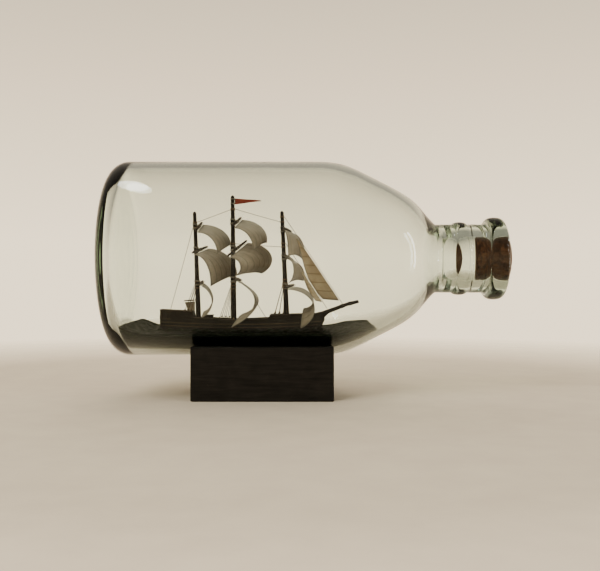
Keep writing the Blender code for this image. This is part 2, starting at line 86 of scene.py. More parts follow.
# height of the yard, its length to starboard and to port of the mast; the sail's
# starboard leech (reach, drop, turn), port leech, belly, roach, evenness of its drop
RIG = {
    ("mizzen", "upper"): (83.6, 10, 10, (9.6, 10.2, 88), (14, 10.1, 90), 1.2, 0.8, 0),
    ("mizzen", "middle"): (72, 12, 12, (8, 15.2, 95), (14.6, 13.6, 90), 1.2, 1.2, 0),
    ("mizzen", "lower"): (55.4, 12.5, 12.5, (4.9, 15.3, 182), (4.4, 14.8, 175), 0.3, 1.4, 0.5),
    ("main", "upper"): (86, 10.5, 9.6, (9.4, 10.7, 90), (12.6, 11.6, 100), 1.2, 1.2, 0),
    ("main", "middle"): (72.8, 13, 13, (5.2, 8.9, 150), (12.4, 15.6, 145), 1.5, 1, 0),
    ("main", "lower"): (57.1, 13.5, 13, (9.6, 22.6, 194), (6.4, 17.8, 165), 1.8, 3.6, 0.8),
    ("fore", "upper"): (82, 11.5, 10.5, (2.4, 13, 95), (6.3, 14, 108), 0, 1.8, 0),
    ("fore", "middle"): (68.1, 13, 12.5, (4.6, 13, 150), (4.9, 9.4, 116), 0, 1, 0),
    ("fore", "lower"): (53.8, 13.5, 13.5, (13.4, 18.6, 150), (9, 13.4, 143), 0, 5.3, 0),
}
# corners (x, y, z): head, tack, clew; then the leech's round
JIBS = {
    "outer_jib": ((16.8, 0.0, 77.6), (38.0, 0.0, 46.9), (29.2, 2.4, 47.3), 2.6),
    "inner_jib": ((19.2, 0.0, 61.2), (29.0, 0.0, 46.2), (25.4, -2.2, 46.6), 0.9),
}
SPANKER = ((-35.0, 0.0, 45.9), (-39.7, 0.0, 45.6), (-38.2, 0.8, 41.6), (-34.9, 0.0, 41.5))
SHROUD_FEET = {
    "mizzen": (-39.2, -37.6, -36.0),
    "main": (-22.0, -20.0, -18.0),
    "fore": (5.0, 7.2, 9.4),
}
SHROUD_TOPS = {"mizzen": 56.0, "main": 55.6, "fore": 57.0}
SHROUD_STEP = 1.6


# ---- materials ----
class Nodes:
    """Short calls for the nodes of one tree."""

    def __init__(self, tree):
        self.tree = tree

    def give(self, node, inputs):
        """Fill inputs by name, with _ for a space, or by number, as in i0."""
        for key, value in inputs.items():
            numbered = key[0] == "i" and key[1:].isdigit()
            socket = node.inputs[int(key[1:]) if numbered else key.replace("_", " ")]
            if isinstance(value, bpy.types.NodeSocket):
                self.tree.links.new(value, socket)
            else:
                socket.default_value = (*value, 1.0) if socket.type == "RGBA" else value
        return node

    def node(self, kind, settings=None, **inputs):
        made = self.tree.nodes.new("ShaderNode" + kind)
        for key, value in (settings or {}).items():
            setattr(made, key, value)
        return self.give(made, inputs)

    def place(self, scale=(1, 1, 1), rotation=(0, 0, 0), source="Object"):
        texture = self.node("TexCoord")
        return self.node("Mapping", Vector=texture.outputs[source], Scale=scale,
                         Rotation=rotation).outputs[0]

    def noise(self, vector, scale, detail=4.0, roughness=0.55, distortion=0.0):
        return self.node("TexNoise", Vector=vector, Scale=scale, Detail=detail,
                         Roughness=roughness, Distortion=distortion).outputs[0]

    def wave(self, vector, scale, distortion, settings, **inputs):
        return self.node("TexWave", settings, Vector=vector, Scale=scale,
                         Distortion=distortion, **inputs).outputs["Fac"]

    def ramp(self, value, stops):
        made = self.node("ValToRGB", Fac=value)
        elements = made.color_ramp.elements
        while len(elements) < len(stops):
            elements.new(0.5)
        for element, (place, colour) in zip(elements, stops):
            element.position = place
            element.color = (*colour, 1.0)
        return made.outputs[0]

    def level(self, value, low, high, to_low=0.0, to_high=1.0):
        return self.node("MapRange", Value=value, From_Min=low, From_Max=high,
                         To_Min=to_low, To_Max=to_high).outputs[0]

    def mix(self, factor, a, b, blend="MIX"):
        return self.node("Mix", {"data_type": "RGBA", "blend_type": blend},
                         i0=factor, i6=a, i7=b).outputs[2]

    def math(self, operation, a, b=0.0):
        return self.node("Math", {"operation": operation}, i0=a, i1=b).outputs[0]

    def bump(self, height, distance, strength=1.0, **after):
        return self.node("Bump", Height=height, Distance=distance, Strength=strength,
                         **after).outputs[0]


class Shader(Nodes):
    """A Principled material."""

    def __init__(self, name, **values):
        self.material = bpy.data.materials.new(name)
        self.material.use_nodes = True
        super().__init__(self.material.node_tree)
        self.base = self.give(self.tree.nodes["Principled BSDF"], values)
        self.output = self.tree.nodes["Material Output"]

    def finish(self, colour, rough, bump):
        """Colour, with roughness from level(*rough) and normals from bump(*bump)."""
        self.give(self.base, {"Base_Color": colour, "Roughness": self.level(*rough),
                              "Normal": self.bump(*bump)})
        return self.material

    def clear(self, factor, colour=(1, 1, 1)):
        """Where the factor is 1, the surface lets light of this colour straight through."""
        gone = self.node("BsdfTransparent", Color=colour)
        mixed = self.node("MixShader", Fac=factor, i1=self.base.outputs[0], i2=gone.outputs[0])
        self.give(self.output, {"Surface": mixed.outputs[0]})


def glass_material():
    """Faintly green-grey glass with slow waves in its surface and tiny seeds."""
    mat = Shader("glass", Base_Color=(0.95, 0.97, 0.95), Roughness=0.0, IOR=1.48,
                 Transmission_Weight=1.0, Specular_Tint=(0.6, 0.6, 0.6))
    place = mat.place((1, 1.6, 1.6))
    waves = mat.noise(place, 30.0, 1.0)
    seeds = mat.ramp(mat.noise(place, 900.0, 1.0),
                     [(0.0, (0, 0, 0)), (0.78, (0, 0, 0)), (0.82, (1, 1, 1))])
    normal = mat.bump(waves, 2e-4, 0.25)
    mat.give(mat.base, {"Normal": mat.bump(seeds, 2e-5, 0.2, Normal=normal)})
    tint = mat.node("VolumeAbsorption", Color=(0.42, 0.56, 0.44), Density=38.0)
    mat.give(mat.output, {"Volume": tint.outputs[0]})
    mat.clear(mat.node("LightPath").outputs["Is Shadow Ray"], (0.90, 0.93, 0.90))
    return mat.material


def stained_wood(name, dark, light, grain=(260, 2600, 2600), roughness=0.5, worn=None):
    """Stained wood: long grain, pores, and paler wear."""
    mat = Shader(name, Specular_IOR_Level=0.3)
    fibre = mat.noise(mat.place(grain), 1.0, 6.0, 0.62, 0.6)
    patches = mat.noise(mat.place(), 160.0, 3.0)
    colour = mat.mix(mat.level(fibre, 0.35, 0.7), dark, light)
    shade = mat.ramp(patches, [(0.3, (0.72, 0.72, 0.72)), (0.7, (1.15, 1.12, 1.08))])
    colour = mat.mix(1.0, colour, shade, "MULTIPLY")
    chips = mat.noise(mat.place(), 700.0, 5.0, 0.7)
    colour = mat.mix(mat.level(chips, 0.63, 0.72), colour, worn)
    pores = mat.level(fibre, 0.25, 0.45)
    return mat.finish(colour, (fibre, 0.2, 0.8, roughness - 0.08, roughness + 0.16),
                      (mat.math("ADD", fibre, pores), 6e-5, 0.6))


def cork_material():
    """Reddish cork with dark lenticels and pale grains."""
    mat = Shader("cork", Specular_IOR_Level=0.25)
    place = mat.place((1.0, 0.55, 0.55))
    grains = mat.node("TexVoronoi", Vector=place, Scale=900.0)
    cracks = mat.noise(mat.place((0.35, 1, 1)), 750.0, 5.0, 0.7, 1.2)
    tone = mat.ramp(grains.outputs["Color"], [(0.0, (0.040, 0.016, 0.009)),
                                              (0.5, (0.085, 0.033, 0.017)),
                                              (1.0, (0.160, 0.066, 0.031))])
    dark = mat.level(cracks, 0.36, 0.44, 1.0, 0.0)
    height = mat.math("SUBTRACT", mat.noise(place, 1600.0), dark)
    return mat.finish(mat.mix(dark, tone, (0.045, 0.018, 0.010)),
                      (cracks, 0.3, 0.7, 0.95, 0.78), (height, 2e-4, 0.7))


def putty_material():
    """Dark green putty with streaks along the waves and a dull wet sheen."""
    mat = Shader("putty", Specular_IOR_Level=0.08)
    streaks = mat.noise(mat.place((160, 900, 900)), 1.0, 5.0, 0.6, 1.4)
    spots = mat.noise(mat.place(), 420.0, 4.0)
    colour = mat.ramp(streaks, [(0.25, (0.002, 0.003, 0.002)), (0.5, (0.007, 0.009, 0.005)),
                                (0.66, (0.020, 0.023, 0.014)), (0.8, (0.060, 0.062, 0.040))])
    colour = mat.mix(mat.level(spots, 0.55, 0.75, 0.0, 0.5), colour, (0.030, 0.028, 0.016))
    return mat.finish(colour, (streaks, 0.3, 0.7, 0.62, 0.38),
                      (mat.math("ADD", streaks, spots), 2.2e-4, 0.6))


def deck_material():
    """Deck planks along X with dark caulked seams and butt joints."""
    mat = Shader("deck_planks")
    split = mat.node("SeparateXYZ", Vector=mat.place())
    lanes = mat.math("MULTIPLY", split.outputs[1], 1250.0)
    number = mat.math("FLOOR", lanes)
    lengths = mat.math("ADD", mat.math("MULTIPLY", split.outputs[0], 130.0),
                       mat.math("MULTIPLY", number, 0.37))
    # distance from the middle of a plank, across and along
    seam, butt = (
        mat.level(mat.math("ABSOLUTE", mat.math(
            "SUBTRACT", mat.math("FRACT", value), 0.5)), low, high)
        for value, low, high in ((lanes, 0.40, 0.46), (lengths, 0.485, 0.495)))
    plank = mat.node("CombineXYZ", X=number, Y=mat.math("FLOOR", lengths))
    tone = mat.node("TexWhiteNoise", {"noise_dimensions": "2D"}, Vector=plank.outputs[0])
    fibre = mat.noise(mat.place((300, 3000, 3000)), 1.0, 5.0)
    wood = mat.mix(tone.outputs[0], (0.060, 0.034, 0.018), (0.110, 0.068, 0.038))
    shade = mat.ramp(fibre, [(0.3, (0.6, 0.6, 0.6)), (0.7, (1.2, 1.2, 1.2))])
    wood = mat.mix(1.0, wood, shade, "MULTIPLY")
    lines = mat.math("MAXIMUM", seam, butt)
    return mat.finish(mat.mix(lines, wood, (0.008, 0.006, 0.005)), (fibre, 0.2, 0.8, 0.45, 0.7),
                      (mat.math("SUBTRACT", fibre, lines), 6e-5, 0.7))


def cloth_material(name, light, dark, stain_and_shade):
    """Woven cloth in the sheet's own UV, with darker seams, old stains and painted shade between
    the threads.
    """
    mat = Shader(name, Sheen_Weight=0.25, Sheen_Roughness=0.5, Specular_IOR_Level=0.2)
    place = mat.place(source="UV")
    warp, weft = (mat.wave(place, scale, 0.6, {"bands_direction": axis}, Detail_Scale=3.0)
                  for axis, scale in (("X", 26.0), ("Y", 20.0)))
    weave = mat.math("MULTIPLY", warp, weft)
    cloudy = mat.noise(mat.place(), 210.0, 5.0, 0.6)
    spots = mat.noise(mat.place(), 620.0, 3.0)
    colour = mat.mix(mat.level(cloudy, 0.3, 0.7), dark, light)
    colour = mat.mix(mat.level(spots, 0.58, 0.8, 0.0, 0.45), colour, stain_and_shade)
    # painted shade: darker between the threads, in the hollows of the weave's bump
    colour = mat.mix(mat.level(weave, 0.0, 0.7, 0.22, 0.0), colour, stain_and_shade)
    seam = mat.node("Attribute", {"attribute_name": "seam"}).outputs["Fac"]
    colour = mat.mix(mat.math("MULTIPLY", seam, 0.6), colour, [0.5 * c for c in stain_and_shade])
    return mat.finish(colour, (cloudy, 0.2, 0.8, 0.92, 0.75), (weave, 5e-5, 0.5))


def thread_material(name, dark, light):
    """Twisted thread: fine slanted stripes."""
    mat = Shader(name, Sheen_Weight=0.3, Specular_IOR_Level=0.2)
    place = mat.place(rotation=(0.6, 0.7, 0.5))
    twist = mat.wave(place, 900.0, 1.0, {"wave_type": "BANDS"})
    fuzz = mat.noise(mat.place(), 2600.0, 3.0)
    return mat.finish(mat.mix(twist, dark, light), (fuzz, 0.2, 0.8, 0.7, 0.95),
                      (twist, 5e-5, 0.8))


def brass_material():
    mat = Shader("dull_brass", Metallic=1.0)
    tarnish = mat.noise(mat.place(), 900.0, 4.0)
    colour = mat.ramp(tarnish, [(0.3, (0.20, 0.12, 0.05)), (0.65, (0.60, 0.42, 0.17))])
    return mat.finish(colour, (tarnish, 0.3, 0.7, 0.6, 0.3), (tarnish, 3e-5, 0.4))


def floor_material():
    """Pale board that runs out softly into the surround."""
    mat = Shader("pale_floor", Roughness=0.8, Specular_IOR_Level=0.1)
    place = mat.place()
    grain = mat.noise(place, 60.0, 4.0)
    colour = mat.ramp(grain, [(0.3, (0.60, 0.53, 0.43)), (0.7, (0.64, 0.57, 0.46))])
    mat.give(mat.base, {"Base_Color": colour})
    distance = mat.node("VectorMath", {"operation": "LENGTH"}, i0=place).outputs["Value"]
    mat.clear(mat.level(distance, 0.22, 0.48))
    return mat.material


MATERIALS = {
    "glass": glass_material(),
    "stand": stained_wood("black_stained_wood", (0.006, 0.0055, 0.005), (0.020, 0.018, 0.016),
                          grain=(60, 700, 700), roughness=0.42, worn=(0.045, 0.035, 0.026)),
    "cork": cork_material(),
    "putty": putty_material(),
    "hull": stained_wood("hull_planks", (0.008, 0.0045, 0.003), (0.026, 0.014, 0.008),
                         worn=(0.060, 0.036, 0.020)),
    "trim": stained_wood("hull_trim", (0.045, 0.027, 0.015), (0.105, 0.068, 0.040),
                         worn=(0.20, 0.15, 0.10)),
    "deck": deck_material(),
    "spar": stained_wood("spar_wood", (0.007, 0.004, 0.003), (0.022, 0.012, 0.008),
                         grain=(1800, 1800, 260), roughness=0.46, worn=(0.07, 0.04, 0.024)),
    "sail": cloth_material("sailcloth", (0.40, 0.32, 0.24), (0.27, 0.21, 0.155),
                           (0.15, 0.108, 0.075)),
    "jib": cloth_material("jib_cloth", (0.56, 0.44, 0.31), (0.44, 0.33, 0.22),
                          (0.28, 0.19, 0.11)),
    "pennant": cloth_material("pennant_cloth", (0.33, 0.062, 0.036), (0.20, 0.034, 0.022),
                              (0.10, 0.018, 0.013)),
    "thread": thread_material("brown_thread", (0.07, 0.035, 0.018), (0.24, 0.14, 0.075)),
    "lashing": thread_material("pale_thread", (0.13, 0.105, 0.075), (0.30, 0.26, 0.20)),
    "brass": brass_material(),
}


# ---- mesh tools ----
def add(name, data):
    obj = bpy.data.objects.new(name, data)
    bpy.context.scene.collection.objects.link(obj)
    return obj


def add_mesh(name, bm, materials):
    mesh = bpy.data.meshes.new(name)
    bm.to_mesh(mesh)
    bm.free()
    for material in materials:
        mesh.materials.append(material)
    return add(name, mesh)


def make_piece(name, bm, looks, replaces=(), body="bottle", smooth=180):
    """A finished piece from a bmesh, riding on its body; looks are MATERIALS keys."""
    bmesh.ops.scale(bm, vec=(MM, MM, MM), verts=bm.verts)
    bmesh.ops.recalc_face_normals(bm, faces=bm.faces)
    obj = add_mesh(name, bm, [MATERIALS[key] for key in looks.split()])
    obj.data.shade_smooth()
    if smooth < 180:
        obj.data.set_sharp_from_angle(angle=radians(smooth))
    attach(obj, body)
    if replaces:
        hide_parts(*replaces)
    return obj


def smooth_line(points, steps):
    """Catmull-Rom curve through the points, `steps` pieces to each span."""
    ends = [points[0], *points, points[-1]]
    line = []
    for a, b, c, d in zip(ends, ends[1:], ends[2:], ends[3:]):
        for k in range(steps):
            t = k / steps
            line.append(tuple(
                0.5 * (2 * q + (r - p) * t + (2 * p - 5 * q + 4 * r - s) * t * t
                       + (3 * q - p - 3 * r + s) * t ** 3)
                for p, q, r, s in zip(a, b, c, d)))
    return [*line, points[-1]]


def arc(centre, radius, start, end, steps):
    """Points on an arc in a plane; angles in degrees."""
    angles = [radians(start + (end - start) * k / steps) for k in range(steps + 1)]
    return [(centre[0] + radius * cos(a), centre[1] + radius * sin(a)) for a in angles]


def hump(start, end, base, height, power, steps):
    """A rounded ring on a neck: a superellipse from x = start to x = end."""
    points = []
    for k in range(steps + 1):
        s = -cos(pi * k / steps)
        rise = (1 - abs(s) ** power) ** (1 / power)
        points.append(((start + end) / 2 + (end - start) / 2 * s, base + height * rise))
    return points


def spread(start, end, count):
    """count + 1 even steps from start to end."""
    return [start + (end - start) * k / count for k in range(count + 1)]


def skin(bm, rings, closed=False, caps=False, look=0):
    """Faces from each ring of vertices to the next; a ring may be a single vertex."""
    made = []
    for a, b in zip(rings, rings[1:] + rings[:1] if closed else rings[1:]):
        count = max(len(a), len(b))
        for k in range(count):
            n = (k + 1) % count
            face = [a[k % len(a)], a[n % len(a)], b[n % len(b)], b[k % len(b)]]
            made.append(bm.faces.new(list(dict.fromkeys(face))))
    if caps:
        made += [bm.faces.new(rings[0][::-1]), bm.faces.new(rings[-1])]
    for face in made:
        face.material_index = look


def turned(bm, profile, segments, matrix=Matrix(), wobble=lambda x, angle: 1.0):
    """Rings of an (x, r) profile about the X axis; wobble scales the radius."""
    rings = []
    for x, r in profile:
        ring = []
        for k in range(segments if r else 1):
            a = 2 * pi * k / segments
            rr = r * wobble(x, a)
            ring.append(bm.verts.new(matrix @ Vector((x, rr * sin(a), rr * cos(a)))))
        rings.append(ring)
    return rings


def revolve(bm, profile, segments, matrix, look=0, **wobble):
    skin(bm, turned(bm, profile, segments, matrix, **wobble), look=look)


def loft(bm, sections):
    """Skin over closed rings of equally many points, shut at both ends."""
    skin(bm, [[bm.verts.new(p) for p in section] for section in sections], caps=True)


def tube(bm, points, radius, sides, closed=False):
    """A round tube along a line of points."""
    points = [Vector(p) for p in points]
    count = len(points)
    rings = []
    side = None
    for k, point in enumerate(points):
        before = points[k - 1] if k or closed else point
        after = points[(k + 1) % count] if k < count - 1 or closed else point
        forward = (after - before).normalized()
        if side is None:
            side = forward.orthogonal().normalized()
        side = (side - forward * side.dot(forward)).normalized()
        up = forward.cross(side)
        rings.append([bm.verts.new(point + (side * cos(a) + up * sin(a)) * radius)
                      for a in (2 * pi * j / sides for j in range(sides))])
    skin(bm, rings, closed=closed, caps=not closed)


def box(bm, low, high, chamfer=0.0, look=0):
    """A box, with eased edges where a chamfer is given."""
    low, high = Vector(low), Vector(high)
    made = bmesh.ops.create_cube(bm, size=1.0)["verts"]
    bmesh.ops.scale(bm, vec=high - low, verts=made)
    bmesh.ops.translate(bm, vec=(low + high) / 2, verts=made)
    for face in {face for vert in made for face in vert.link_faces}:
        face.material_index = look
    if chamfer:
        edges = {edge for vert in made for edge in vert.link_edges}
        bmesh.ops.bevel(bm, geom=list(edges), offset=chamfer, segments=2, affect="EDGES")


def along(start, end):
    """A frame at `start` whose local X axis points at `end`, and the distance."""
    start = Vector(start)
    direction = Vector(end) - start
    turn = direction.to_track_quat("X", "Z").to_matrix().to_4x4()
    return Matrix.Translation(start) @ turn, direction.length


def between(table, x):
    """Straight-line reading of a short list of (x, value) pairs."""
    for (x0, v0), (x1, v1) in zip(table, table[1:]):
        if x <= x1:
            return v0 + (v1 - v0) * max(x - x0, 0.0) / (x1 - x0)
    return table[-1][1]


def ease(t):
    t = min(max(t, 0.0), 1.0)
    return t * t * (3 - 2 * t)


def rough(point, scale):
    return noise.noise(Vector(point) * scale)


def node_points(node):
    """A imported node's vertices, in metres."""
    return [vert.co for vert in NODES[node].data.vertices]


def middle_mm(points):
    """The middle of some points in metres, in millimetres."""
    return sum(points, Vector()) / len(points) / MM


def spar_ends(node, axis):
    """End points of a stick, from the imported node: mean of its first and last vertices."""
    points = node_points(node)
    low = min(p[axis] for p in points)
    high = max(p[axis] for p in points)
    reach = 0.02 * (high - low)
    ends = []
    for edge, sign in ((low, 1), (high, -1)):
        ends.append(middle_mm([p for p in points if sign * (p[axis] - edge) < reach]))
    return ends


# ---- bottle ----
def outer_profile():
    corner = (BASE_X + BASE_CORNER, BODY_RADIUS - BASE_CORNER)
    shoulder = [(30.6, 48), (40, 46.4), (48, 42.9), (57, 38.4), (66, 33.8), (73.6, 28.9),
                (78.6, 23.6), (81.6, 19.4), (84.6, 17.0)]
    return [(BASE_X + PUSH_UP, 0), (BASE_X + 0.9 * PUSH_UP, 12), (BASE_X + 0.5 * PUSH_UP, 25),
            *arc(corner, BASE_CORNER, 180, 90, 18), *((x, BODY_RADIUS) for x in (-40, -15, 10)),
            *smooth_line(shoulder, 5), (87.5, NECK_RADIUS), (91, NECK_RADIUS),
            *hump(93.4, 100.2, NECK_RADIUS, 1.2, 2.0, 14),
            (103, NECK_RADIUS + 0.1), (106.5, NECK_RADIUS),
            *hump(109.4, MOUTH_X, NECK_RADIUS, 3.5, 2.6, 22)]


def inner_profile():
    radius = BODY_RADIUS - WALL
    corner_radius = BASE_CORNER - WALL
    floor_x = BASE_X + BASE_THICKNESS
    corner = (floor_x + corner_radius, radius - corner_radius)
    shoulder = [(88, 11), (83, 13), (79, 17.8), (75.5, 22.8), (71, 27.2), (63, 32.2),
                (54, 36.6), (45.5, 40.8), (37.5, 43.9), (29.6, 45.2)]
    return [*arc((MOUTH_X - 1.4, BORE_RADIUS + 1.6), 1.4, 0, -90, 5),
            (MOUTH_X - 3, BORE_RADIUS), (100, BORE_RADIUS), *smooth_line(shoulder, 5),
            *((x, radius) for x in (10, -15, -40)), *arc(corner, corner_radius, 90, 180, 14),
            (floor_x + 0.5 * PUSH_UP, 25), (floor_x + 0.9 * PUSH_UP, 12), (floor_x + PUSH_UP, 0)]


def evened(profile, to_x, from_x=-50, step=1.2, passes=10):
    """The profile with its long run between two x values drawn finer and smoother."""
    ends = [k for k, (x, r) in enumerate(profile) if r > 12 and from_x <= x <= to_x]
    first, last = ends[0], ends[-1]
    run = profile[first:last + 1]
    table = sorted(run)
    start, end = table[0][0], table[-1][0]
    fine = [(x, between(table, x)) for x in spread(start, end, int((end - start) / step))]
    for _ in range(passes):
        fine = ([fine[0]] + [(q[0], (p[1] + 2 * q[1] + n[1]) / 4)
                             for p, q, n in zip(fine, fine[1:], fine[2:])] + [fine[-1]])
    falls = run[0][0] > run[-1][0]
    return profile[:first] + (fine[::-1] if falls else fine) + profile[last + 1:]


OUTER = evened(outer_profile(), 84.7)
INNER = evened(inner_profile(), 86)
INNER_TABLE = sorted((x, r) for x, r in INNER if r > 20)


def make_bottle():
    """The glass, with the slow unevenness of a hand-finished bottle."""
    bm = bmesh.new()
    rings = []
    for profile, depth, scale, shift in ((OUTER, 0.0012, 0.026, 0), (INNER, 0.0022, 0.022, 3000)):
        def wobble(x, a):
            spot = (x + shift, sin(a) * 50, cos(a) * 50)
            return 1 - depth * (0.5 + 0.5 * rough(spot, scale))

        rings += turned(bm, profile, 144, Matrix.Translation((0, 0, AXIS_Z)), wobble)
    skin(bm, rings)
    make_piece("glass_bottle", bm, "glass", ["bottle"])


def make_cork():
    """Cork with a crumbling rim and pitted end."""
    bm = bmesh.new()
    low, high = cad_box("cork")
    start, end = low[0], high[0]
    radius = (high[2] - low[2]) / 2
    edge = 0.9
    profile = [(start, radius * k / 6) for k in range(6)] + [(start, radius - edge)]
    profile += [(x, radius) for x in spread(start + edge, end - edge, 14)]
    profile += arc((end - edge, radius - edge), edge, 90, 0, 3)[1:]
    profile += [(end, radius * k / 9) for k in range(8, -1, -1)]
    revolve(bm, profile, 72, Matrix.Translation((0, 0, AXIS_Z)))
    centre = Vector((0.5 * (start + end), 0, AXIS_Z))
    for vert in bm.verts:
        pit = max(0.0, rough(vert.co, 0.7) - 0.25) + 0.6 * max(0.0, rough(vert.co, 0.26) - 0.3)
        vert.co += (centre - vert.co).normalized() * (0.75 * pit + 0.04)
    make_piece("cork_stopper", bm, "cork", ["cork"], body="cork", smooth=60)


def make_stand():
    """The block: cradle and eased edges."""
    low, high = cad_box("stand_block")
    half, top = high[1], high[2]
    cradle = BODY_RADIUS + 0.3
    swing = degrees(acos((AXIS_Z - top) / cradle))
    side = [z * top / 8 for z in range(1, 8)]
    outline = [*((y * half / 6, 0) for y in range(-6, 7)), *((half, z) for z in side),
               (half, top), (half - 3, top),
               *arc((0, AXIS_Z), cradle, -90 + swing, -90 - swing, 40),
               (-half + 3, top), (-half, top), *((-half, z) for z in reversed(side))]
    bm = bmesh.new()
    loft(bm, [[(x, y, z) for y, z in outline] for x in spread(low[0], high[0], 24)])
    obj = make_piece("stand", bm, "stand", ["stand_block"], body="stand", smooth=30)
    bevel = obj.modifiers.new("eased_edges", "BEVEL")
    bevel.width = 0.7 * MM
    bevel.segments = 3
    bevel.limit_method = "ANGLE"
    bevel.angle_limit = radians(35)
    bevel.harden_normals = False


# ---- sea ----
def sea_level(x):
    left = 3.2 * ease((-56 - x) / 12)
    right = 3.0 * ease((x - 30) / 22)
    lip = 1.6 * ease((x - 52) / 3)
    return SEA_Z + left + right - lip


def half_breadth(x):
    """Half the ship's breadth at the rail."""
    shape = [(0.0, 0.68), (0.12, 0.84), (0.30, 0.97), (0.5, 1.0), (0.66, 0.96),
             (0.80, 0.78), (0.90, 0.50), (0.96, 0.26), (1.0, 0.07)]
    return HALF_BEAM * between(shape, (x - STERN_X) / (STEM_X - STERN_X))


def waves(x, y):
    """Height of the modelled chop: short crests, a lap along the hull and a bow wave."""
    bend = 2.4 * rough((x, y, 300), 0.09)
    swell = sin((x + 0.35 * y + bend) * 2 * pi / 9.5)
    cross = sin((0.5 * x - y + bend) * 2 * pi / 7.0)
    crest = (1 - abs(swell)) * 0.62 + (1 - abs(cross)) * 0.30
    chop = rough((x, y, 1700), 0.42) * 0.25 + rough((x, 2.5 * y, 4000), 0.9) * 0.10
    lap = 0.0
    if STERN_X - 1 < x < STEM_X + 1:
        beside = abs(y) - half_breadth(min(max(x, STERN_X), STEM_X))
        lap = 0.9 * exp(-max(beside, 0.0) / 1.1)
    bow = 1.0 * exp(-((x - 27) / 5) ** 2 - (abs(y) / 3.5) ** 2)
    wake = 0.5 * exp(-((x + 55) / 4) ** 2 - (y / 5) ** 2)
    return crest + chop + lap + bow + wake - 0.25


def make_sea():
    """Putty poured into the bottle: a wavy top, and a round underside near the glass."""
    low, high = cad_box("sea")
    across = 84
    around = 36
    sections = []
    for x in spread(low[0], high[0], 210):
        radius = between(INNER_TABLE, x) - SEA_GAP
        level = sea_level(x)
        half_angle = acos((AXIS_Z - level) / radius)
        chord = radius * sin(half_angle)
        fade = ease((x - low[0]) / 3) * ease((high[0] - x) / 3)
        section = []
        for j in range(across):
            y = chord * (1 - 2 * j / across)
            edge = ease((chord - abs(y)) / 2.5)
            climb = 0.8 * (1 - edge) * fade
            z = level + waves(x, y) * edge * (0.25 + 0.75 * fade) + climb
            limit = sqrt(max(radius * radius - (AXIS_Z - z) ** 2, 0.0))
            section.append((x, copysign(min(abs(y), limit), y), z))
        for j in range(around):
            a = half_angle * (2 * j / around - 1)
            section.append((x, radius * sin(a), AXIS_Z - radius * cos(a)))
        sections.append(section)
    bm = bmesh.new()
    loft(bm, sections)
    make_piece("putty_sea", bm, "putty", ["sea"], smooth=70)


# ---- hull ----
def deck_height(x):
    middle = -12
    span, rise = (middle - STERN_X, 1.0) if x < middle else (STEM_X - middle, 1.3)
    return DECK_Z + rise * (abs(x - middle) / span) ** 2


def rail_height(x):
    return between([(STERN_X, 42.0), (-35.6, 41.1), (-34.8, 38.2), (-14.5, 37.1), (1.9, 37.8),
                    (2.7, 39.5), (20.2, 39.9), (20.8, 39.1), (STEM_X, 41.2)], x)


def hull_point(x, t, out=0.0):
    """Starboard side of the hull: t is 0 at the keel line and 1 at the rail."""
    z = KEEL_Z + (rail_height(x) - KEEL_Z) * t
    deck = deck_height(x)
    below = max(0.0, (deck - z) / (deck - KEEL_Z))
    fullness = 0.86 - 0.30 * ease((x - 8) / 22)
    width = 1 - (1 - fullness) * below ** 2.2
    home = 1 - 0.05 * ease((z - deck) / 3.5)
    rake = 0.5 * ease((x - 14) / 16) * max(0.0, deck - z)
    return Vector((x - rake, -(half_breadth(x) * width * home + out), z))


def strake_relief(t):
    """Outward step of each plank at height t: strakes with a groove between."""
    inside = (t * STRAKES) % 1.0
    groove = min(inside, 1 - inside)
    return -0.10 * ease(1 - groove / 0.12) + 0.05 * inside


def make_hull():
    """Planked shell with steps in its rail and a raked stem."""
    bm = bmesh.new()
    rows = 72
    xs = sorted([*spread(STERN_X, STEM_X, 150), *RAIL_STEPS])
    sections = []
    for x in xs:
        side = [hull_point(x, j / rows, strake_relief(j / rows)) for j in range(rows + 1)]
        top = side[-1]
        inner = Vector((top.x, min(top.y + PLANK, -0.02), top.z))
        floor = Vector((x, min(-half_breadth(x) + PLANK, -0.02), deck_height(x)))
        starboard = [*side, inner, floor]
        port = [Vector((p.x, -p.y, p.z)) for p in reversed(starboard)]
        sections.append(starboard + port)
    loft(bm, sections)
    make_piece("planked_hull", bm, "hull",
               ["hull", "bulwark_port", "bulwark_starboard", "transom"], smooth=40)


def side_strip(bm, x_from, x_to, height, thick, tall, out=0.0, steps=60):
    """A moulding along both sides; height(x) is its middle."""
    for side in (1, -1):
        sections = []
        for x in spread(x_from, x_to, steps):
            z = height(x)
            p = hull_point(x, min((z - KEEL_Z) / (rail_height(x) - KEEL_Z), 1.0))
            face, back = p.y - out - thick, p.y - out + 0.2
            bevel = p.y - out - 0.5 * thick
            sections.append([(p.x, side * y, z + share * tall) for y, share in (
                (face, -0.32), (face, 0.32), (bevel, 0.5), (back, 0.5), (back, -0.5),
                (bevel, -0.5))])
        loft(bm, sections)


